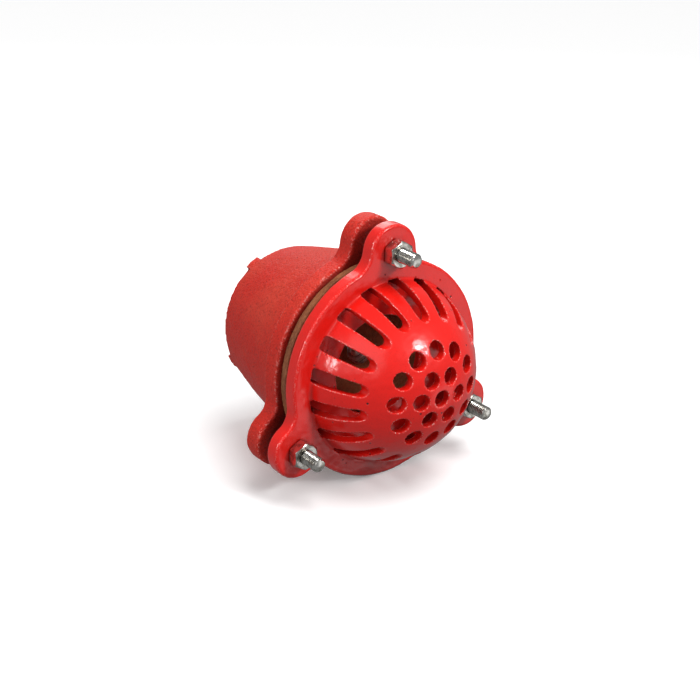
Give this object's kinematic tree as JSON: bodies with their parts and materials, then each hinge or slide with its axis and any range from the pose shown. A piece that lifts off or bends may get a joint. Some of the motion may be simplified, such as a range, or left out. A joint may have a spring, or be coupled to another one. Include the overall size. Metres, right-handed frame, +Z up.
{
  "type": "foot valve",
  "caption": "Cast-iron foot valve with a female pipe thread, a domed slotted strainer and a weighted leather flap that swings inside.",
  "frame": {"origin": "centre of the pipe thread's mouth, on the valve's axis", "axes": "+Y out of the pipe thread along the valve's axis, the dome faces -Y; +Z up through the top ear, the valve lying on its side"},
  "size_m": [0.1834, 0.1847, 0.181],
  "materials": {
    "red_enamel_body": "sand-cast grain under red enamel",
    "red_enamel_strainer": "glossy red enamel over a fine cast grain",
    "sole_leather": "oiled, fibrous cut edge",
    "bright_zinc": "bright zinc plate",
    "bare_iron": "bare sand-cast iron"
  },
  "bodies": {
    "body": {"valve_body": "red_enamel_body", "strainer": "red_enamel_strainer", "leather_gasket": "sole_leather", "flange_bolt_1": "bright_zinc", "flange_bolt_2": "bright_zinc", "flange_bolt_3": "bright_zinc", "flange_nut_1": "bright_zinc", "flange_nut_2": "bright_zinc", "flange_nut_3": "bright_zinc"},
    "flap": {"flap_leather": "sole_leather", "flap_weight": "bare_iron", "flap_washer": "bright_zinc", "flap_bolt": "bright_zinc", "flap_nut": "bright_zinc"}
  },
  "joints": [
    {"name": "flap_swing", "type": "hinge", "parent": "body", "child": "flap", "pos_m": [0.0407, -0.10975, -0.0235], "axis": [0.5, 0, 0.866], "range_deg": [0, 65]}
  ]
}
